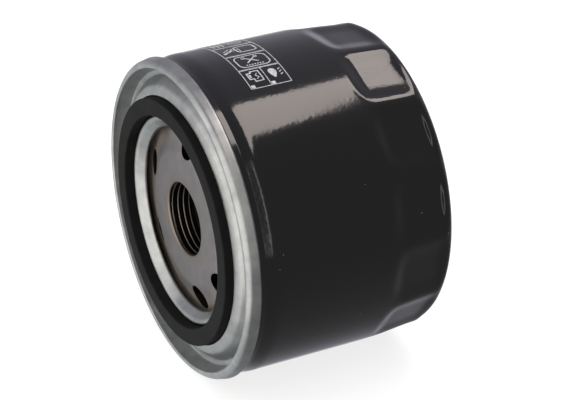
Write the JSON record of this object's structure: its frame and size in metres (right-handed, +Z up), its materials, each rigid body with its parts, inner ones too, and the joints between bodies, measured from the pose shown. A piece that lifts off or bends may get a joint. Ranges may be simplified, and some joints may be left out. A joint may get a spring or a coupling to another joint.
{
  "type": "oil filter",
  "caption": "Spin-on engine oil filter: black steel can with wrench flats, seamed cover, rubber gasket, threaded base plate and a sprung filter element inside.",
  "frame": {"origin": "centre of the gasket's sealing face, on the filter's axis", "axes": "+Y runs along the filter's axis from the open end to the closed end, +Z is up with the filter lying on its side"},
  "size_m": [0.0804, 0.0581, 0.0802],
  "materials": {
    "black_paint": "gloss",
    "zinc_plate": "satin",
    "nitrile_rubber": "matte",
    "oiled_steel": "oiled",
    "tinplate": "satin",
    "spring_steel": "satin",
    "filter_paper": "matte",
    "plastisol": "matte",
    "silicone_rubber": "matte",
    "seam_sealant": "matte"
  },
  "bodies": {
    "housing": {"can": "black_paint", "seaming_cover": "zinc_plate", "seam_compound": "seam_sealant", "gasket": "nitrile_rubber", "base_plate": "oiled_steel", "element_spring": "spring_steel"},
    "drainback": {"drainback_valve": "silicone_rubber"},
    "element": {"valve_end_cap": "tinplate", "valve_end_adhesive": "plastisol", "pleated_media": "filter_paper", "media_clip": "tinplate", "centre_tube": "tinplate", "dome_end_adhesive": "plastisol", "dome_end_cap": "tinplate", "bypass_seat": "tinplate", "bypass_cage": "tinplate", "bypass_spring": "spring_steel"},
    "bypass_valve": {"bypass_poppet": "tinplate", "bypass_seal": "nitrile_rubber"}
  },
  "joints": [
    {"name": "element_float", "type": "slide", "parent": "housing", "child": "element", "axis": [0, 1, 0], "range_m": [0, 0.0015], "stiffness_N_per_m": 6000, "springref_m": -0.005, "deforming": ["element_spring"]},
    {"name": "bypass_lift", "type": "slide", "parent": "element", "child": "bypass_valve", "axis": [0, -1, 0], "range_m": [0, 0.003], "stiffness_N_per_m": 2000, "springref_m": -0.0055, "deforming": ["bypass_spring"]},
    {"name": "drainback_lift", "type": "slide", "parent": "housing", "child": "drainback", "axis": [0, 1, 0], "range_m": [0, 0.0012], "stiffness_N_per_m": 800, "springref_m": -0.0005}
  ]
}
